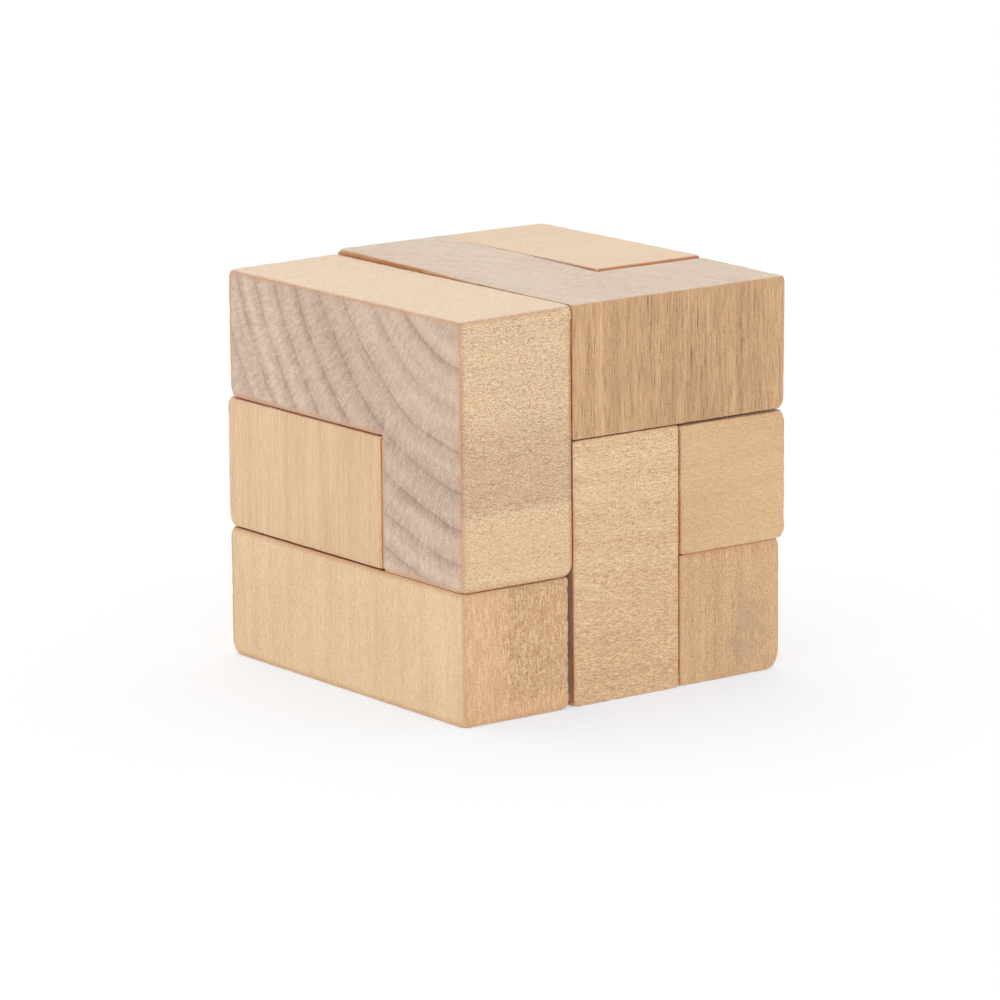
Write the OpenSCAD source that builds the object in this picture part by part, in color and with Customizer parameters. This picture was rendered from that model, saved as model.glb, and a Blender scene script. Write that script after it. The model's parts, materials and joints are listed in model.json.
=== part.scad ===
// Seven-piece packing cube: solid hardwood blocks that fill a cube of three by three by three cells.
// X runs to the right, Y to the back, Z up. The origin is the middle of the cube's bottom face.
// Every piece is one flat or stepped outline, sawn from solid wood, with its edges eased by hand.
// Each piece comes out of the closed cube in one straight line.

/* [Cube] */
// Edge of one cell, a third of the cube's edge
cell = 15; // [12:0.5:25]
// Clearance left at each inner face of a piece
play = 0.1; // [0.05:0.01:0.2]
// Radius of every eased edge
edge_r = 0.25; // [0.1:0.05:1]

/* [Fit as made] */
// Set-in of the left L and the base T behind the middle L's end, at the left face
left_set_in = 0.1; // [0:0.05:0.3]
// Set-in of the left L and the V behind the top L, at the front face
front_set_in = 0.1; // [0:0.05:0.3]
// Length missing from the left L's long arm, at the back face
left_l_short = 0.5; // [0:0.05:0.8]
// Height missing from the left L, at the top face
left_l_low = 0.05; // [0:0.05:0.4]
// Width missing from the base T's long bar, beside the V
base_t_narrow = 0.55; // [0:0.05:0.8]
// Set-in of the base L's long bar behind the cube's right face
base_l_set_in = 0.55; // [0:0.05:0.8]
// Set-in of the base L's front end behind the cube's front face
base_l_front_set_in = 0.35; // [0:0.05:0.8]
// Extra height of the base L over a cell, which lifts what lies on it
base_l_tall = 0.15; // [0.1:0.05:0.2]
// Rise of the zigzag piece above the cube's top face
zigzag_proud = 0.4; // [0:0.05:0.6]
// Height missing from the zigzag piece's front arm, under the top L
zigzag_arm_low = 0.2; // [0.2:0.05:0.4]
// Angle in degrees at which the top L lies, raised at the back
top_l_tilt = 0.7; // [0:0.1:0.8]
// Depth by which the top L's underside hangs below its cell, at the front
top_l_deep = 0.15; // [0:0.05:0.2]
// Length missing from the top L's long arm, at the back face
top_l_short = 0.4; // [0:0.05:0.8]

/* [Hidden] */
$fn = 48;

// Cells along one edge of the cube, and half of that edge in millimetres
cells = 3;
half_w = cells * cell / 2;
NO_TRIM = [0, 0, 0];

// Rectangle from the origin with four round corners
module rounded_rectangle(w, h) {
    translate([edge_r, 0]) square([w - 2 * edge_r, h]);
    translate([0, edge_r]) square([w, h - 2 * edge_r]);
    for (u = [edge_r, w - edge_r], v = [edge_r, h - edge_r])
        translate([u, v]) circle(edge_r);
}

// Block from the origin with all its edges eased
module eased_block(size) {
    intersection() {
        rotate([90, 0, 90])
            linear_extrude(size[0]) rounded_rectangle(size[1], size[2]);
        translate([0, size[1], 0])
            rotate([90, 0, 0])
            linear_extrude(size[1]) rounded_rectangle(size[0], size[2]);
        linear_extrude(size[2]) rounded_rectangle(size[0], size[1]);
    }
}

// Straight run of cells of one piece, from the low to the high corner, counted in cells.
// Inner faces stand back by the play. A trim is what a face stands back by besides, in millimetres.
module bar(low, high, low_trim = NO_TRIM, high_trim = NO_TRIM) {
    start = [for (i = [0:2]) low[i] * cell + (low[i] > 0 ? play : 0) + low_trim[i]];
    end = [for (i = [0:2]) high[i] * cell - (high[i] < cells ? play : 0) - high_trim[i]];
    translate(start - [half_w, half_w, 0]) eased_block(end - start);
}

// L on the left face: the long arm lies along the top, the short arm hangs at the front
module left_l_piece() {
    // the piece takes up the play beside the top L and over the base T
    front_left = [left_set_in, front_set_in, 0];
    top_right = [-play, 0, left_l_low];
    color([0.76, 0.63, 0.53])
    union() {
        bar([0, 0, 2], [1, 3, 3], front_left + [0, 0, play], top_right + [0, left_l_short, 0]);
        bar([0, 0, 1], [1, 1, 3], front_left - [0, 0, play], top_right);
    }
}

// Flat L of the middle layer, round the left face and across the back
module middle_l_piece() {
    // the piece rests on the base L, and rises into the play under the left L
    raise = [0, 0, base_l_tall - play];
    rise = [0, 0, -play];
    color([0.88, 0.74, 0.56])
    union() {
        bar([0, 1, 1], [1, 3, 2], raise, rise);
        bar([0, 2, 1], [3, 3, 2], raise, rise);
    }
}

// Flat T of the base layer: the bar lies along the left face, the stem reaches the middle
module base_t_piece() {
    color([0.86, 0.72, 0.54])
    union() {
        bar([0, 0, 0], [1, 3, 1], [left_set_in, 0, 0], [base_t_narrow, 0, 0]);
        bar([0.5, 1, 0], [2, 2, 1]);
    }
}

// Flat L of the top layer, which lies a little raised at the back
module top_l_piece() {
    // the tilt brings the front face's top edge forward by this much
    lean = cell * sin(top_l_tilt);
    front_left = [play, lean, -top_l_deep];
    color([0.77, 0.60, 0.44])
    translate([0, -half_w, 2 * cell])
    rotate([top_l_tilt, 0, 0])
    translate([0, half_w, -2 * cell])
    union() {
        bar([1, 0, 2], [2, 3, 3], front_left, [0, top_l_short, 0]);
        bar([1, 0, 2], [3, 1, 3], front_left);
    }
}

// V of three cells at the front: two cells high, with one cell reaching back under the top L
module corner_v_piece() {
    front_left = [play, front_set_in, 0];
    under_top_l = [0, 0, play / 2];
    color([0.86, 0.71, 0.52])
    union() {
        bar([1, 0, 0], [2, 1, 2], front_left, under_top_l);
        bar([1, 0, 1], [2, 2, 2], front_left, under_top_l);
    }
}

// Zigzag piece on the right face: low arm at the front, high arm at the back, one step between
module zigzag_piece() {
    // the piece rests on the base L
    raise = [0, 0, base_l_tall - play];
    proud = [0, 0, -zigzag_proud];
    color([0.86, 0.71, 0.50])
    union() {
        bar([2, 0, 1], [3, 2, 2], raise, [0, 0, zigzag_arm_low]);
        bar([2, 1, 1], [3, 2, 3], raise, proud);
        bar([2, 1, 2], [3, 3, 3], raise, proud);
    }
}

// Flat L of the base layer: the long bar lies along the right face, the foot across the back
module base_l_piece() {
    right = [base_l_set_in, 0, -base_l_tall];
    color([0.74, 0.57, 0.42])
    union() {
        bar([2, 0, 0], [3, 3, 1], [play, base_l_front_set_in, 0], right);
        bar([1, 2, 0], [3, 3, 1], NO_TRIM, right);
    }
}

left_l_piece();
middle_l_piece();
base_t_piece();
top_l_piece();
corner_v_piece();
zigzag_piece();
base_l_piece();
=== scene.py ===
import json
import math

import bpy
import numpy as np
from mathutils import Matrix, Vector, kdtree, noise


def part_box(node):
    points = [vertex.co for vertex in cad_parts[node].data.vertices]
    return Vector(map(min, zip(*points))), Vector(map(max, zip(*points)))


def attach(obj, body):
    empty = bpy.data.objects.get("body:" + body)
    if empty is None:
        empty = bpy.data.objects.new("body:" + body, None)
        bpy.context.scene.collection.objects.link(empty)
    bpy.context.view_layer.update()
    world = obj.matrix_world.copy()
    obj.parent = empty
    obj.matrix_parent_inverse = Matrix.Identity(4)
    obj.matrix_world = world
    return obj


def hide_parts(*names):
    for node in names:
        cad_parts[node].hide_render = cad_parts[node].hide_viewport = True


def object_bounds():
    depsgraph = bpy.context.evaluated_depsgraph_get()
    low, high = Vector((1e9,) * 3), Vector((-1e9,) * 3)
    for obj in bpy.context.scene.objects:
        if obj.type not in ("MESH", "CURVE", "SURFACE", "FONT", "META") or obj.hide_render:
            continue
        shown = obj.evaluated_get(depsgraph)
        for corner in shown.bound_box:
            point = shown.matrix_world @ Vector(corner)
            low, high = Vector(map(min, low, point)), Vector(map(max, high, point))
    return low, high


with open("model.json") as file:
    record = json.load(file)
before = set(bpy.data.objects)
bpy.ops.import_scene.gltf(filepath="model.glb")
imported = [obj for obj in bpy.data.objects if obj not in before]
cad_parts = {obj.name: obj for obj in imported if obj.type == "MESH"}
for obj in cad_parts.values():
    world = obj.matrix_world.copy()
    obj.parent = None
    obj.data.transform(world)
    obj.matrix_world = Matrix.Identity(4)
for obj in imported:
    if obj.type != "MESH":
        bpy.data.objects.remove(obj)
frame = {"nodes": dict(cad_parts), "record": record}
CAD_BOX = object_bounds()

# A wooden packing cube of seven pieces on a white sheet. Blender counts in metres; the lengths named
# below are in millimetres where nothing else is said.
scene = bpy.context.scene
MM = 0.001

CELLS = 3
CUBE = (CAD_BOX[1].x - CAD_BOX[0].x) / MM
CELL = CUBE / CELLS


def smooth(value, low, high):
    """From 0 at low to 1 at high, with soft ends"""
    t = min(max((value - low) / (high - low), 0.0), 1.0)
    return t * t * (3 - 2 * t)


# ---------------------------------------------------------------- pieces

# Spacing of the finished pieces' mesh
VOXEL = 0.23
# How far the even mesh blunts an edge at most, and the share of it that is taken back. Where a seam
# closes, all of it is.
BLUNTED = 0.25
SHARPENING = 0.6
# Edges that turn by more than this, in degrees, are shaded crisp
CRISP_ANGLE = 32

# What a point's normal tells, by its parts along the three axes. The point is on a flat face if the
# largest part is over FLAT_PART, and the mesh turns there if it is under EDGE_PART. Each face that
# meets there has a part over MEETING_PART.
FLAT_PART = 0.9
EDGE_PART = 0.97
MEETING_PART = 0.25
# The point is on the front, or on a face that lies level, if that part is over these
FRONT_PART = 0.6
LEVEL_PART = 0.7

# Largest depth of each kind of relief, and the size of the patches of the first two
WANDER_DEPTH, WANDER_SIZE = 0.03, 8.0
WEAR_DEPTH, WEAR_SIZE = 0.08, 1.7
CHATTER_DEPTH = 0.07
TUFT_DEPTH = 0.16

# Width of the margin along a seam, on the face that shows and on the one that is covered, where a browner
# colour is painted as painted shade of the seam's gap
SEAM_MARGIN = 0.27
SEAM_INSIDE = 0.7
# A face is covered if the cube goes on in front of it for more than this
COVERED_BY = 1.0
# How far the rims of the covered faces swell into the play: of upright faces, of level ones, where the
# play is less, and of upright ones where two pieces lie level side by side and the seam closes
SIDE_SWELL = 0.065
FLAT_SWELL = 0.035
CLOSED_SWELL = 0.09
# The two seams that close are on top, above this height. Points this near to one belong to it. This
# much of the second one stays open.
TOP_FROM = 2.9 * CELL
NEAR_SEAM = 1.0
CLOSED_SEAM = 0.15
# Share of the wear that a seam keeps away
SEAM_SHELTER = 0.8
# Width of the worn margin along the edges
EDGE_MARGIN = 0.6

# Radius of the base T's upright edge at the front left, and the share of it by which a round edge
# stands back from a sharp one, along each of the two faces
ROUND_EDGE = 0.9
ROUND_SHARE = 0.29
# Height by which the left L's top falls away towards the left
LEFT_L_TAPER = 0.22
# Width and slope of the worn margin along the top L, where it comes down to the left L's level, and
# how far below that level the margin begins
LEVELLED_WIDTH = 1.5
LEVELLED_SLOPE = 0.12
LEVELLED_FROM = 0.3

# A corner's point is looked for this far round it. It is an outward corner if the mesh comes this near
# to the point, and a new one if it is this far from the others.
CORNER_SEARCH = 1.5
CORNER_BLUNTED = 0.6
CORNERS_APART = 2
# Radius to which each corner is worn round, by its place counted in cells. Every other corner has the
# usual wear. The wear runs out along the edges in this many radii.
WEAR_LENGTH = 1.5
USUAL_WEAR = 0.6
CORNER_WEAR = {
    "left_l_piece": {
        (0, 3, 3): 0.9, (0, 3, 2): 1.1, (1, 0, 3): 0.8, (1, 0, 1): 1.3, (0, 0, 3): 0.4, (0, 0, 1): 0.8,
    },
    "middle_l_piece": {(0, 3, 2): 1.0, (0, 3, 1): 1.1, (0, 1, 2): 0.3, (0, 1, 1): 0.3},
    "base_t_piece": {
        (0, 3, 1): 1.0, (0, 3, 0): 1.4, (0, 0, 0): 0.7, (1, 0, 0): 1.1, (1, 0, 1): 0.5, (0, 0, 1): 0.4,
    },
    "top_l_piece": {
        (3, 0, 3): 0.7, (3, 0, 2): 1.1, (1, 3, 3): 0.8, (1, 0, 2): 0.5, (1, 0, 3): 0.4, (3, 1, 3): 0.5,
        (2, 3, 3): 0.5,
    },
    "corner_v_piece": {(1, 0, 0): 0.7, (2, 0, 0): 0.5, (1, 0, 2): 0.4, (2, 0, 2): 0.4},
    "zigzag_piece": {(3, 0, 2): 1.1, (3, 0, 1): 1.1, (2, 0, 2): 0.4, (2, 0, 1): 0.4, (2, 1, 3): 0.4},
    "base_l_piece": {(3, 0, 0): 1.8, (3, 0, 1): 0.8, (2, 0, 0): 0.5, (2, 0, 1): 0.4},
}


def remeshed(node):
    """The node's solid as one closed mesh of small, even squares"""
    rough = bpy.data.objects.new("rough_cut", frame["nodes"][node].data.copy())
    rough.data.materials.clear()
    scene.collection.objects.link(rough)
    remesh = rough.modifiers.new("remesh", "REMESH")
    remesh.mode = "VOXEL"
    remesh.voxel_size = VOXEL * MM
    graph = bpy.context.evaluated_depsgraph_get()
    mesh = bpy.data.meshes.new_from_object(rough.evaluated_get(graph))
    bpy.data.objects.remove(rough)
    return mesh


def vectors(items, name):
    """One row of three numbers for each of a mesh's items"""
    flat = np.empty(len(items) * 3)
    items.foreach_get(name, flat)
    return flat.reshape(-1, 3)


def finder(places, rows):
    """A search tree of the places in these rows, which gives each place's row back"""
    found = kdtree.KDTree(len(rows))
    for row in rows:
        found.insert(places[row], int(row))
    found.balance()
    return found


def closeness(places, rows, width):
    """How close each place is to one of these rows: 1 there, and 0 at this distance or more"""
    near = finder(places, rows)
    return np.array([smooth(near.find(place)[2], width, 0.0) for place in places])


def seam_strength(place):
    """How open the seams are, and how much painted shade they get: hardly any on top, where two pieces
    lie level
    """
    x, y, z = place
    if z < TOP_FROM:
        return 1.0
    # the left L and the top L lie level at the front
    if abs(x + CELL / 2) < NEAR_SEAM:
        return smooth(y, -0.8 * CELL, 0.5 * CELL)
    # the top L and the zigzag piece lie level towards the back
    if abs(x - CELL / 2) < NEAR_SEAM and y > -CELL / 2:
        return CLOSED_SEAM + (1 - CLOSED_SEAM) * smooth(y, -0.1 * CELL, -0.45 * CELL)
    return 1.0


def sharpen_edges(places, normals):
    """Draws the edges, which the even mesh has blunted, back towards the lines where their faces meet"""
    tree = finder(places, range(len(places)))
    moved = places.copy()
    for index in np.flatnonzero(np.abs(normals).max(axis=1) < EDGE_PART):
        place, normal = places[index], normals[index]
        near = places[[found[1] for found in tree.find_range(place, 2.5 * VOXEL)]]
        signs = np.sign(normal)
        meeting = np.where(np.abs(normal) > MEETING_PART, (near * signs).max(axis=0) * signs, place)
        if np.linalg.norm(meeting - place) < BLUNTED:
            moved[index] += (1 + (SHARPENING - 1) * seam_strength(place)) * (meeting - place)
    places[:] = moved


def outward_corners(places, normals):
    """Each place where three faces meet outwards, and the signs of the direction that it points in"""
    found = []
    for index in np.flatnonzero(np.abs(normals).min(axis=1) > MEETING_PART):
        signs = np.sign(normals[index])
        near = places[np.linalg.norm(places - places[index], axis=1) < CORNER_SEARCH]
        corner = (near * signs).max(axis=0) * signs
        outward = np.linalg.norm(corner - places[index]) < CORNER_BLUNTED
        known = any(np.linalg.norm(corner - other) < CORNERS_APART for other, _ in found)
        if outward and not known:
            found.append((corner, signs))
    return found


def wear_corners(places, normals, wear):
    """Rounds the corners, as tumbling does: most at the corner, and less along its three edges"""
    for corner, signs in outward_corners(places, normals):
        cells = (corner + (CUBE / 2, CUBE / 2, 0)) / CELL
        reach = wear.get(tuple(int(c) for c in np.round(cells)), USUAL_WEAR)
        rows = np.flatnonzero(np.abs(corner - places).max(axis=1) < WEAR_LENGTH * reach)
        inward = (corner - places[rows]) * signs
        for along, across in ((0, (1, 2)), (1, (0, 2)), (2, (0, 1))):
            radius = reach * np.clip(1 - inward[:, along] / (WEAR_LENGTH * reach), 0, 1) ** 2
            from_centre = radius[:, None] - inward[:, across]
            distance = np.linalg.norm(from_centre, axis=1)
            outside = (from_centre > 0).all(axis=1) & (distance > radius)
            share = (radius[outside] / distance[outside])[:, None]
            inward[np.ix_(outside, across)] = radius[outside][:, None] - from_centre[outside] * share
        places[rows] = corner - inward * signs


def round_front_left_edge(places, low):
    """Rounds the upright edge between the left and the front face"""
    nearness = np.clip(1 - (places[:, :2] - low[:2]) / ROUND_EDGE, 0, 1)
    share = np.clip(nearness.sum(axis=1) - 1, 0, 1) ** 1.5
    places[:, :2] += share[:, None] * ROUND_SHARE * ROUND_EDGE


def taper_left_l(places, low, high):
    """Lets the top fall away towards the left, and keeps the foot where it is"""
    from_right = (high[0] - places[:, 0]) / (high[0] - low[0])
    from_top = np.clip((high[2] - places[:, 2]) / CELL, 0, 1)
    places[:, 2] -= LEFT_L_TAPER * from_right * (1 - from_top)


def level_with_left_l(places):
    """Brings the top L's left edge down to the left L's top, where the seam between them closes"""
    left_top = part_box("left_l_piece")[1].z / MM
    inward = places[:, 0] + CELL / 2
    on_margin = (inward < LEVELLED_WIDTH) & (places[:, 2] > left_top - LEVELLED_FROM)
    for index in np.flatnonzero(on_margin):
        excess = places[index, 2] - left_top - LEVELLED_SLOPE * inward[index]
        places[index, 2] -= max(excess, 0) * (1 - seam_strength(places[index]))


def seam_margin(places, normals):
    """Which places are on a face that another piece covers, and how close each place is to the rim
    of such a face"""
    rows = np.arange(len(places))
    axis = np.abs(normals).argmax(axis=1)
    box = np.array(CAD_BOX) / MM
    to_low, to_high = places - box[0], box[1] - places
    ahead = np.where(normals[rows, axis] > 0, to_high[rows, axis], to_low[rows, axis])
    covered = (ahead > COVERED_BY) & (np.abs(normals).max(axis=1) > FLAT_PART)
    depth = np.minimum(to_low, to_high).min(axis=1)
    rim = np.flatnonzero(covered & (depth < SEAM_INSIDE))
    return covered, closeness(places, rim, SEAM_MARGIN)


def edge_margin(places, normals):
    """How close each place is to an edge"""
    on_edge = np.flatnonzero(np.abs(normals).max(axis=1) < FLAT_PART)
    return closeness(places, on_edge, EDGE_MARGIN)


# What is on the front ends. Heights and widths are in millimetres from the cube's foot and its middle,
# or from the piece's low corner where that is given.

def left_l_front(place, low):
    """How rough the left L's front end is: most between its smooth foot and its middle"""
    height = place[2] - low[2]
    band = smooth(height, 7.8, 8.8) * (1 - smooth(height, 14.0, 21.0))
    return 0.35 + 0.65 * band - 0.3 * smooth(height, 7.5, 6.0)


def base_t_front(place, low):
    """How torn the base T's front end is: most beside the V"""
    sideways = (place[0] - low[0]) / (CELL - 0.85) + 0.12 * noise.noise(Vector(place) * 0.35)
    return 0.2 + 0.8 * smooth(sideways, 0.30, 0.50) * smooth(place[2], 0.8, 3.0)


def corner_v_front(place, low):
    """How rough the V's front end is: more towards its foot"""
    return 0.35 + 0.3 * smooth(place[2], 22.0, 6.0)


def chatter(place):
    """Depth of short level ripples"""
    wave = noise.noise(Vector((place[0] * 0.9, 0, place[2] * 2.2)))
    return CHATTER_DEPTH * (0.5 + 0.5 * wave)


def tufts(place):
    """Depth between upright fibres torn loose in short tufts"""
    coarse = noise.noise(Vector((place[0] * 1.6, 3.0, place[2] * 1.0)))
    fine = noise.noise(Vector((place[0] * 3.4, 7.0, place[2] * 2.4)))
    return TUFT_DEPTH * smooth(coarse + fine, 0.1, -0.45)


def left_l_stain(place):
    """A thin scorched line across the front, and a warmer tone on the rough band over it"""
    level = 23.9 + 0.6 * noise.noise(Vector((place[0] * 0.35, 0, 5.0)))
    patchy = smooth(noise.noise(Vector((place[0] * 0.5, 9.0, 0))), -0.5, 0.3)
    line = 1 - smooth(abs(place[2] - level), 0.1, 0.9)
    band = smooth(place[2], 23.5, 24.5) * (1 - smooth(place[2], 28.0, 36.0))
    return max(line * patchy, 0.6 * band)


def base_l_stain(place):
    """A weathered grey patch at the right of the front"""
    away = math.hypot((place[0] - 17.6) / 3.6, (place[2] - 5.6) / 5.5)
    return 1 - smooth(away + 0.5 * noise.noise(Vector(place) * 0.6), 0.3, 1.1)


def base_t_stain(place):
    """A more orange front end, most so beside the V"""
    return 0.85 + 0.15 * smooth(place[0], -19.0, -13.0)


def corner_v_stain(place):
    """A warmer foot of the front"""
    return smooth(place[2], 20.0, 2.0)


STAINS = {
    "left_l_piece": left_l_stain,
    "base_t_piece": base_t_stain,
    "corner_v_piece": corner_v_stain,
    "base_l_piece": base_l_stain,
}

FRONTS = {
    "left_l_piece": (left_l_front, chatter),
    "base_t_piece": (base_t_front, tufts),
    "corner_v_piece": (corner_v_front, chatter),
}


def worn_depth(place, normal, seam, strength):
    """How far wear has taken the surface back: a little everywhere, and in patches on the edges"""
    on_edge = smooth(1 - np.abs(normal).max(), 0.02, 0.20)
    patches = max(0.0, noise.noise(Vector(place) / WEAR_SIZE) + 0.15)
    wander = 0.5 + 0.5 * noise.noise(Vector(place) / WANDER_SIZE)
    return WANDER_DEPTH * wander + WEAR_DEPTH * on_edge * patches * (1 - SEAM_SHELTER * seam) * strength


def swollen_depth(normal, seam, strength):
    """How far the rim of a covered face stands out, counted as a depth"""
    side_swell = CLOSED_SWELL + (SIDE_SWELL - CLOSED_SWELL) * strength
    return -(FLAT_SWELL if abs(normal[2]) > LEVEL_PART else side_swell) * seam


def finished_piece(node):
    """The node's solid with worn corners and the traces of saw and sandpaper, and with swollen rims"""
    mesh = remeshed(node)
    places, normals = vectors(mesh.vertices, "co") / MM, vectors(mesh.vertex_normals, "vector")
    low, high = (np.array(corner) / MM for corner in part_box(node))
    covered, seam = seam_margin(places, normals)
    edge = edge_margin(places, normals)
    sharpen_edges(places, normals)
    wear_corners(places, normals, CORNER_WEAR[node])
    if node == "left_l_piece":
        taper_left_l(places, low, high)
    if node == "top_l_piece":
        level_with_left_l(places)
    if node == "base_t_piece":
        round_front_left_edge(places, low)
    roughness, stain, depth = (np.zeros(len(places)) for _ in range(3))
    front, stained = FRONTS.get(node), STAINS.get(node)
    for index, (place, normal) in enumerate(zip(places, normals)):
        strength = seam_strength(place)
        if covered[index]:
            depth[index] = swollen_depth(normal, seam[index], strength)
        else:
            depth[index] = worn_depth(place, normal, seam[index], strength)
        if front and normal[1] < -FRONT_PART:
            roughness[index] = front[0](place, low)
            depth[index] += roughness[index] * front[1](place)
        if stained and normal[1] < -FRONT_PART:
            stain[index] = stained(place)
        seam[index] *= strength
        edge[index] *= strength
    places -= normals * depth[:, None]
    mesh.vertices.foreach_set("co", (places * MM).ravel())
    # seam holds where a browner colour is painted as shade in and along the seams
    for name, values in (("rough", roughness), ("stain", stain), ("seam", seam), ("edge", edge)):
        mesh.attributes.new(name, "FLOAT", "POINT").data.foreach_set("value", values)
    mesh.shade_smooth()
    mesh.set_sharp_from_angle(angle=math.radians(CRISP_ANGLE))
    return mesh


# ---------------------------------------------------------------- wood

# Gloss of the bare wood: strong enough that the tops, seen at a low angle, turn pale
SPECULAR = 0.85
IOR = 1.5
ROUGHNESS = 0.44
SHEEN_ROUGHNESS = 0.4
# Depth of the fibres' bump
BUMP_DEPTH = 0.05

# How fine each pattern is: cells of its noise to the millimetre, across the grain and, where the look
# doesn't say, along it
SLOW = (0.09, 0.03)
FADING = (0.22, 0.1)
STRANDS = (8.0, 0.09)
DASHES = 7.5
PORES = (3.2, 0.30)
SPECKS = (8.5, 6.5)
WAVES = 4.2
# The same for the bands, across the rings and along the grain, and for the rays, which also have cells
# to the radian round the pith
BANDS = (0.5, 0.01)
RAYS = (110.0, 0.8, 0.6)

# What is left of a ring where it fades out
FADED_RING = 0.45
# Half the width of a thin wavy line, as a share of its noise, and the share of a long face that such
# lines darken
LINE_WIDTH = 0.050
LINES_MEAN = 0.12
# How dark the wood is across one year's ring, from the end of one winter to the end of the next
RING_PROFILE = (
    (0.0, 1.0), (0.03, 0.60), (0.16, 0.42), (0.40, 0.16), (0.70, 0.10), (0.93, 0.34), (1.0, 1.0),
)


def srgb(red, green, blue):
    """A colour as seen on a screen, 0 to 255, as the shader's linear colour"""
    return tuple(((c / 255 + 0.055) / 1.055) ** 2.4 for c in (red, green, blue)) + (1.0,)


class Tree:
    """A material's nodes, with one short call for each kind that the woods use"""

    def __init__(self, name):
        self.material = bpy.data.materials.new(name)
        self.material.use_nodes = True
        self.nodes = self.material.node_tree.nodes
        self.links = self.material.node_tree.links
        self.shader = self.nodes["Principled BSDF"]

    def feed(self, socket, value):
        """Links another node's output to the socket, or sets it to a constant"""
        if isinstance(value, bpy.types.NodeSocket):
            self.links.new(value, socket)
        else:
            socket.default_value = value

    def node(self, kind, inputs=(), **settings):
        node = self.nodes.new(kind)
        for name, value in settings.items():
            setattr(node, name, value)
        for socket, value in inputs:
            self.feed(node.inputs[socket], value)
        return node

    def attribute(self, name):
        """What the mesh holds for each of its points under this name"""
        return self.node("ShaderNodeAttribute", attribute_name=name).outputs["Fac"]

    def math(self, operation, *values):
        return self.node("ShaderNodeMath", enumerate(values), operation=operation).outputs[0]

    def combine(self, x, y, z):
        return self.node("ShaderNodeCombineXYZ", enumerate((x, y, z))).outputs[0]

    def separate(self, vector):
        return self.node("ShaderNodeSeparateXYZ", [(0, vector)]).outputs

    def scaled(self, vector, factors):
        inputs = [(0, vector), (1, factors)]
        return self.node("ShaderNodeVectorMath", inputs, operation="MULTIPLY").outputs[0]

    def noise(self, place, detail=2.0, roughness=0.5, distortion=0.0):
        inputs = [("Vector", place), ("Scale", 1.0), ("Detail", detail), ("Roughness", roughness),
                  ("Distortion", distortion)]
        return self.node("ShaderNodeTexNoise", inputs).outputs["Fac"]

    def grain_noise(self, place, across, along, *texture):
        """Noise with this many cells to the millimetre across the grain and along it"""
        return self.noise(self.scaled(place, (across, across, along)), *texture)

    def between(self, value, low, high):
        """From 0 at low to 1 at high, with soft ends"""
        inputs = [("Value", value), ("From Min", low), ("From Max", high)]
        return self.node("ShaderNodeMapRange", inputs, interpolation_type="SMOOTHSTEP").outputs[0]

    def swing(self, value):
        """A noise's value, so that it swings about nothing"""
        return self.math("SUBTRACT", value, 0.5)

    def weighted(self, start, *terms):
        """start plus the sum of each value times its weight"""
        total = start
        for value, weight in terms:
            total = self.math("MULTIPLY_ADD", value, weight, total)
        return total

    def mix(self, factor, first, second):
        node = self.node("ShaderNodeMix", data_type="RGBA")
        for socket, value in zip((0, 6, 7), (factor, first, second)):
            self.feed(node.inputs[socket], value)
        return node.outputs[2]

    def ramp(self, value, stops):
        """A value's shade between these stops"""
        node = self.node("ShaderNodeValToRGB", [(0, value)])
        ramp = node.color_ramp
        while len(ramp.elements) < len(stops):
            ramp.elements.new(0.5)
        for element, (position, grey) in zip(ramp.elements, stops):
            element.position = position
            element.color = (grey, grey, grey, 1)
        return node.outputs[0]


def grain_axes(tree, grain):
    """Millimetres across the grain, twice, and along it, and how squarely a face cuts the grain"""
    texture = tree.node("ShaderNodeTexCoord")
    x, y, z = tree.separate(tree.scaled(texture.outputs["Object"], (1 / MM,) * 3))
    normal = tree.separate(texture.outputs["Normal"])
    axes, facing = ((y, z, x), normal[0]) if grain == "x" else ((x, y, z), normal[2])
    return axes, tree.between(tree.math("ABSOLUTE", facing), 0.45, 0.90)


def growth(tree, look, axes, place, slow):
    """The year's rings, the bands of several years, the rays and one darker zone, round the pith"""
    side, rise, along = axes
    from_side = tree.math("SUBTRACT", side, look["pith"][0])
    from_rise = tree.math("SUBTRACT", rise, look["pith"][1])
    square = tree.weighted(tree.math("MULTIPLY", from_side, from_side), (from_rise, from_rise))
    radius = tree.weighted(tree.math("SQRT", square), (tree.swing(slow), look["wobble"]))

    years = tree.math("MULTIPLY", tree.math("SUBTRACT", radius, look["first_ring"]), 1 / look["ring"])
    years = tree.math("MULTIPLY_ADD", tree.math("MULTIPLY", years, years), look["tighten"], years)
    fading = tree.between(tree.grain_noise(place, *FADING), 0.25, 0.60)
    ring = tree.math("MULTIPLY", tree.ramp(tree.math("FRACT", years), RING_PROFILE),
                     tree.weighted(FADED_RING, (fading, 1 - FADED_RING)))

    bands = tree.noise(tree.combine(tree.math("MULTIPLY", radius, BANDS[0]), 0.0,
                                    tree.math("MULTIPLY", along, BANDS[1])), 3.0)
    turn = tree.math("ARCTAN2", from_rise, from_side)
    rays = tree.noise(tree.scaled(tree.combine(turn, radius, along), RAYS))
    middle, width, _ = look["zone"]
    zone = tree.between(tree.math("ABSOLUTE", tree.math("SUBTRACT", radius, middle)), width, 1.0)
    return {"rings": ring, "bands": tree.swing(bands), "rays": tree.swing(rays), "zone": zone}


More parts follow.
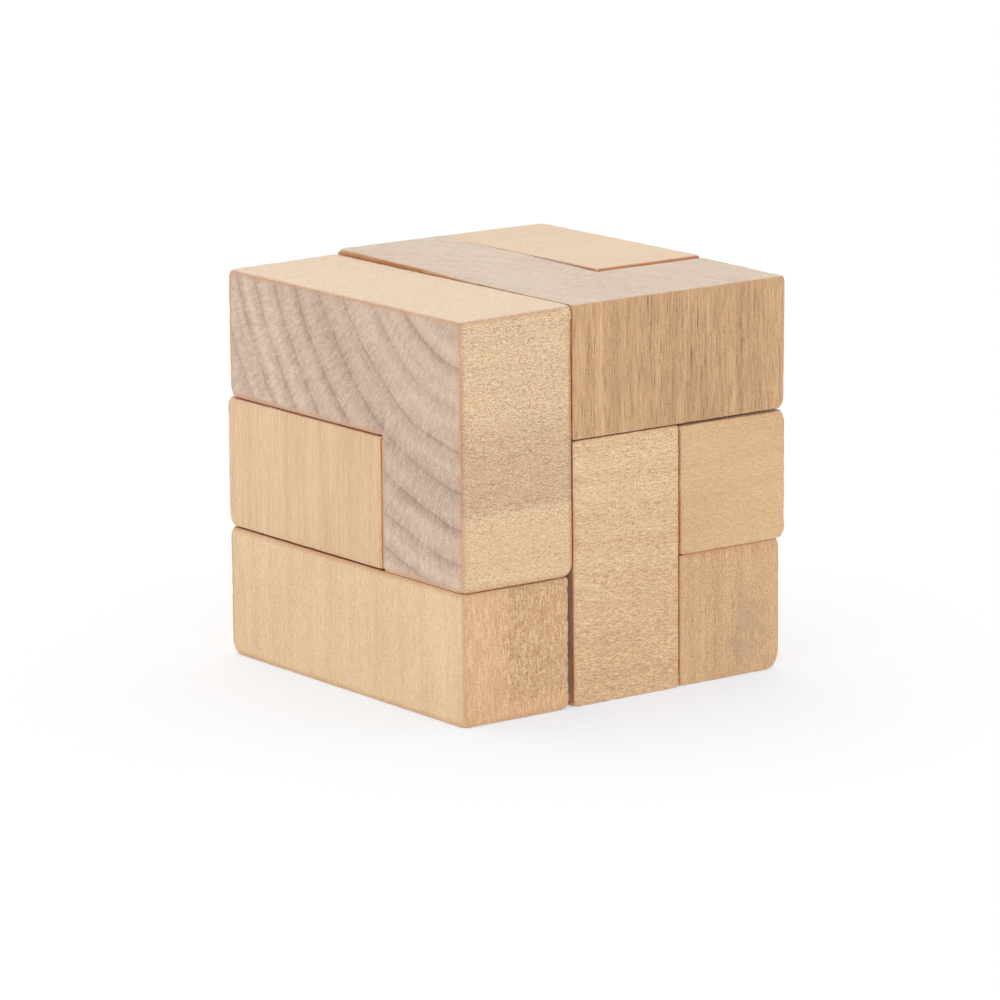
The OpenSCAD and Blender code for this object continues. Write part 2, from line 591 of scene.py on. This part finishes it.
def fibres(tree, look, place):
    """The fibres, which run with the grain, so that they are lines on the long faces and dots on the
    ends"""
    strands = tree.grain_noise(place, *STRANDS, 2.0, 0.6)
    dashes = tree.grain_noise(place, DASHES, look["dash"], 2.0, 0.6, look["curl"])
    specks = tree.grain_noise(place, *SPECKS, 2.0, 0.7)
    pores = tree.between(tree.grain_noise(place, *PORES, 1.0), 0.63, 0.72)
    # thin wavy lines, where a slower noise passes its middle, broken up by the specks
    waves = tree.grain_noise(place, WAVES, look["wave"], 1.0, 0.5, 0.4)
    lines = tree.between(tree.math("ABSOLUTE", tree.swing(waves)), LINE_WIDTH, 0.0)
    lines = tree.math("MULTIPLY", lines, tree.between(specks, 0.38, 0.55))
    return {"strands": strands, "dashes": dashes, "specks": specks, "pores": pores, "lines": lines}


def tinted(tree, colour, mark, strength, tint):
    """The colour with a tint over it, where the mesh has this mark"""
    share = tree.math("MULTIPLY", tree.attribute(mark), strength)
    return tree.mix(share, colour, srgb(*tint))


def wood(look):
    """Solid wood, worked out in space, so that faces cut from one piece share their rings and fibres"""
    tree = Tree(look["name"])
    axes, end = grain_axes(tree, look["grain"])
    place = tree.combine(*axes)
    slow = tree.grain_noise(place, *SLOW)
    blotches = tree.swing(slow)
    grown = growth(tree, look, axes, place, slow)
    fibre = fibres(tree, look, place)
    strands, dashes, specks = (tree.swing(fibre[kind]) for kind in ("strands", "dashes", "specks"))
    rough = tree.attribute("rough")
    lively = tree.math("MULTIPLY_ADD", rough, look["rough_gain"], 1.0)

    fuzz = tree.weighted(
        -LINES_MEAN * look["lines"],
        (dashes, look["dashes"]), (specks, look["specks"]), (fibre["lines"], look["lines"]))
    long_dark = tree.weighted(
        look["long_mean"],
        (grown["rings"], look["long_rings"]), (grown["bands"], look["long_bands"]),
        (strands, look["strands"]), (blotches, look["blotches"]), (fibre["pores"], look["pores"]),
        (rough, look["rough_dark"]), (fuzz, lively))
    end_dark = tree.weighted(
        look["end_mean"],
        (grown["rings"], look["end_rings"]), (grown["bands"], look["end_bands"]),
        (grown["rays"], look["end_rays"]), (specks, look["end_specks"]), (blotches, look["blotches"]),
        (grown["zone"], look["zone"][2]))
    long_colour = tree.mix(long_dark, srgb(*look["light"]), srgb(*look["dark"]))
    end_colour = tree.mix(end_dark, srgb(*look["end_light"]), srgb(*look["end_dark"]))
    colour = tree.mix(end, long_colour, end_colour)
    patchy_stain = tree.weighted(look["stain"], (dashes, 1.5), (specks, 1.0))
    colour = tinted(tree, colour, "stain", patchy_stain, look["stain_colour"])
    patchy_edge = tree.weighted(look["edge"], (blotches, 2.0), (dashes, 1.5), (specks, 2.0))
    colour = tinted(tree, colour, "edge", patchy_edge, look["edge_colour"])
    # Painted shade: a browner colour painted into the seams' gaps and along their rims, where the pieces
    # shade each other
    patchy_seam_shade = tree.weighted(look["seam"], (blotches, 1.5), (dashes, 0.8))
    colour = tinted(tree, colour, "seam", patchy_seam_shade, look["seam_shade_colour"])

    relief = tree.weighted(
        0.0,
        (fibre["dashes"], 0.7), (fibre["specks"], 0.5), (fibre["strands"], 0.3), (fibre["pores"], -0.4),
        (fibre["lines"], -0.6 * look["lines"]))
    height = tree.math("MULTIPLY", relief, tree.math("MULTIPLY", lively, look["relief"]))
    bump_inputs = [("Strength", 1.0), ("Distance", BUMP_DEPTH * MM), ("Height", height)]
    bump = tree.node("ShaderNodeBump", bump_inputs)
    matt = tree.weighted(ROUGHNESS, (fibre["dashes"], 0.10), (end, 0.06))
    tree.feed(tree.shader.inputs["Base Color"], colour)
    tree.feed(tree.shader.inputs["Normal"], bump.outputs[0])
    tree.feed(tree.shader.inputs["Roughness"], matt)
    tree.feed(tree.shader.inputs["IOR"], IOR)
    tree.feed(tree.shader.inputs["Specular IOR Level"], SPECULAR)
    tree.feed(tree.shader.inputs["Sheen Weight"], look["sheen"])
    tree.feed(tree.shader.inputs["Sheen Roughness"], SHEEN_ROUGHNESS)
    return tree.material


# What every wood has where its own look says nothing else. "pith" is the middle of the rings, across
# the grain. "first_ring" and "ring" are a radius and the rings' spacing there, which "tighten" makes
# less further out, and "zone" is a radius, a width and a weight. "dash" and "wave" are cells of noise
# to the millimetre along the grain. Colours are as seen on a screen. Each of the others is a mean or
# the weight of one pattern.
PLAIN = {
    "pith": (-60.0, -40.0), "first_ring": 0.0, "ring": 3.0, "tighten": 0.0, "wobble": 3.0,
    "zone": (0.0, 1.5, 0.0),
    "dash": 0.9, "curl": 0.3, "relief": 1.0, "rough_gain": 1.0, "rough_dark": 0.0, "sheen": 0.15,
    "long_mean": 0.42, "long_rings": 0.10, "long_bands": 0.20, "blotches": 0.4,
    "strands": 0.3, "dashes": 0.6, "lines": 0.15, "pores": 0.0,
    "end_mean": 0.40, "end_rings": 0.35, "end_bands": 0.4, "end_rays": 0.7, "end_specks": 1.0,
    "end_light": (225, 205, 185), "end_dark": (186, 156, 128),
    "stain": 0.0, "stain_colour": (200, 140, 90),
    "edge": 0.25, "edge_colour": (204, 150, 102),
    # The last two weigh and colour the painted shade in and along the seams
    "seam": 0.8, "seam_shade_colour": (196, 122, 62),
}

LOOKS = {
    "left_l_piece": {
        "name": "grey_brown_wood", "grain": "x",
        "pith": (-25.5, 58.9), "first_ring": 19.6, "ring": 4.9, "tighten": 0.035, "wobble": 1.5,
        "zone": (35.0, 8.0, 0.12),
        "dash": 2.0, "wave": 1.3, "curl": 0.8, "relief": 1.2, "rough_gain": 3.0, "rough_dark": -0.3,
        "sheen": 0.5,
        "light": (253, 222, 179), "dark": (183, 134, 86),
        "long_mean": 0.45, "long_rings": 0.04, "long_bands": 0.12, "blotches": 0.1,
        "dashes": 0.8, "specks": 1.35, "lines": 0.3,
        "end_mean": 0.345, "end_rings": 0.55, "end_bands": 0.8, "end_rays": 0.8, "end_specks": 1.5,
        "end_light": (239, 210, 183), "end_dark": (161, 126, 102),
        "stain": 0.55, "stain_colour": (214, 152, 94), "edge": 0.8,
    },
    "middle_l_piece": {
        "name": "straw_wood", "grain": "z", "wave": 0.14, "relief": 0.5,
        "light": (244, 211, 167), "dark": (185, 134, 84),
        "long_bands": 0.35, "strands": 0.8, "specks": 0.95,
    },
    "base_t_piece": {
        "name": "tan_wood", "grain": "z",
        "wave": 0.4, "curl": 0.5, "relief": 0.9, "rough_gain": 3.3, "rough_dark": -0.16,
        "light": (255, 226, 181), "dark": (186, 135, 82),
        "strands": 0.5, "specks": 1.1,
        "stain": 0.46, "stain_colour": (210, 142, 82), "edge": 0.85, "edge_colour": (206, 158, 108),
    },
    "top_l_piece": {
        "name": "brown_wood", "grain": "z", "dash": 0.5, "wave": 0.2,
        "light": (227, 183, 133), "dark": (151, 101, 57),
        "long_mean": 0.41, "long_bands": 1.0, "blotches": 0.6,
        "strands": 1.0, "dashes": 1.0, "specks": 0.9, "lines": 0.32, "pores": 0.3,
        "end_mean": 0.35, "end_rings": 0.15, "end_bands": 0.8, "end_rays": 1.0, "end_specks": 1.3,
        "end_light": (219, 196, 172), "end_dark": (183, 153, 126),
        "edge": 0.1, "seam": 0.7,
    },
    "corner_v_piece": {
        "name": "honey_wood", "grain": "x",
        "dash": 1.4, "wave": 1.1, "curl": 0.5, "relief": 1.2, "rough_dark": 0.12,
        "light": (255, 224, 177), "dark": (184, 131, 82),
        "long_mean": 0.395, "blotches": 0.25, "dashes": 0.85, "specks": 0.9, "lines": 0.38,
        "stain": 0.18, "stain_colour": (208, 146, 90),
    },
    "zigzag_piece": {
        "name": "yellow_wood", "grain": "x",
        "dash": 1.3, "wave": 1.0, "curl": 0.6, "relief": 0.8, "sheen": 0.45,
        "light": (238, 202, 151), "dark": (181, 131, 76),
        "long_bands": 0.05, "dashes": 0.8, "specks": 1.8,
    },
    "base_l_piece": {
        "name": "russet_wood", "grain": "z", "dash": 0.8, "wave": 0.6, "relief": 1.2,
        "light": (237, 194, 143), "dark": (165, 116, 72),
        "long_mean": 0.4, "long_bands": 0.5, "strands": 0.85, "dashes": 1.1, "specks": 2.4, "lines": 0.25,
        "stain": 0.5, "stain_colour": (180, 146, 114),
    },
}


def make_pieces():
    """One finished piece for each node, on the node's body"""
    for body, nodes in frame["record"]["behaviour"]["bodies"].items():
        for node in nodes:
            mesh = finished_piece(node)
            mesh.materials.append(wood({**PLAIN, **LOOKS[node]}))
            piece = bpy.data.objects.new(node.replace("_piece", "_block"), mesh)
            scene.collection.objects.link(piece)
            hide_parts(node)
            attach(piece, body)


# ---------------------------------------------------------------- studio

# The sheet's edge, in metres
FLOOR_SIZE = 6.0
# The sheet's own colour is a little warm, which cancels the wood's warm light on it. It is mottled
# with one that is this much of it, in spots of some millimetres.
FLOOR_COLOUR = (0.58, 0.50, 0.44)
MOTTLED = 0.98
MOTTLE_SCALE = 400.0
# What the sheet is lit with from above, and how bright it comes out in all: plain white
OPEN_LIGHT = 1.113
WHITE = 1.03

WORLD_STRENGTH = 1.0
# A broad, even light from above and a little behind, which leaves a faint shadow in front
LAMP_STRENGTH = 0.40
LAMP_ANGLE = math.radians(50)
LAMP_DIRECTION = Vector((-0.09, -0.37, -0.75))

# Camera: a long lens, on the left of the front, a little above the cube. The distance and the target
# are in metres, the angles in degrees.
CAM_DISTANCE = 0.6124
CAM_AZIMUTH = -36.55
CAM_ELEVATION = 12.07
CAM_ROLL = -0.50
CAM_TARGET = Vector((-0.00091, -0.00029, 0.01886))
CAM_LENS = 194.7
SENSOR = 36.0


def make_floor():
    """A pale matt sheet that gives off a little light"""
    half = FLOOR_SIZE / 2
    mesh = bpy.data.meshes.new("floor")
    corners = [(-half, -half, 0), (half, -half, 0), (half, half, 0), (-half, half, 0)]
    mesh.from_pydata(corners, [], [(0, 1, 2, 3)])
    floor = bpy.data.objects.new("floor", mesh)
    tree = Tree("floor_sheet")
    place = tree.node("ShaderNodeTexCoord").outputs["Object"]
    mottle = tree.node("ShaderNodeTexNoise", [("Vector", place), ("Scale", MOTTLE_SCALE)]).outputs["Fac"]
    darker = tuple(MOTTLED * c for c in FLOOR_COLOUR)
    tree.feed(tree.shader.inputs["Base Color"], tree.mix(mottle, (*FLOOR_COLOUR, 1), (*darker, 1)))
    tree.feed(tree.shader.inputs["Roughness"], 1.0)
    tree.feed(tree.shader.inputs["Specular IOR Level"], 0.0)
    tree.feed(tree.shader.inputs["Emission Color"], (*(WHITE - OPEN_LIGHT * c for c in FLOOR_COLOUR), 1))
    tree.feed(tree.shader.inputs["Emission Strength"], 1.0)
    mesh.materials.append(tree.material)
    scene.collection.objects.link(floor)


def make_lamp():
    lamp = bpy.data.lights.new("overhead", "SUN")
    lamp.energy = LAMP_STRENGTH
    lamp.angle = LAMP_ANGLE
    light = bpy.data.objects.new("overhead", lamp)
    light.rotation_euler = LAMP_DIRECTION.to_track_quat("-Z", "Y").to_euler()
    scene.collection.objects.link(light)


def make_studio():
    """White light from all round, the lamp and the sheet"""
    world = bpy.data.worlds.new("studio")
    world.use_nodes = True
    background = world.node_tree.nodes["Background"].inputs
    background["Color"].default_value = (1, 1, 1, 1)
    background["Strength"].default_value = WORLD_STRENGTH
    scene.world = world
    scene.view_settings.view_transform = "Standard"
    make_lamp()
    make_floor()


def make_camera():
    """The camera, with its axes worked out from its azimuth, elevation and roll"""
    azimuth, elevation = math.radians(CAM_AZIMUTH), math.radians(CAM_ELEVATION)
    back = Vector((math.sin(azimuth) * math.cos(elevation),
                   -math.cos(azimuth) * math.cos(elevation),
                   math.sin(elevation)))
    right = Vector((-back.y, back.x, 0)).normalized()
    up = back.cross(right)
    turn = Matrix((right, up, back)).transposed().to_4x4()
    camera = bpy.data.objects.new("camera", bpy.data.cameras.new("camera"))
    camera.data.lens = CAM_LENS
    camera.data.sensor_width = SENSOR
    camera.data.clip_start = 0.01
    camera.data.clip_end = 10
    camera.matrix_world = (Matrix.Translation(CAM_TARGET + back * CAM_DISTANCE)
                           @ turn @ Matrix.Rotation(math.radians(CAM_ROLL), 4, "Z"))
    scene.collection.objects.link(camera)
    scene.camera = camera


make_camera()
make_pieces()
make_studio()
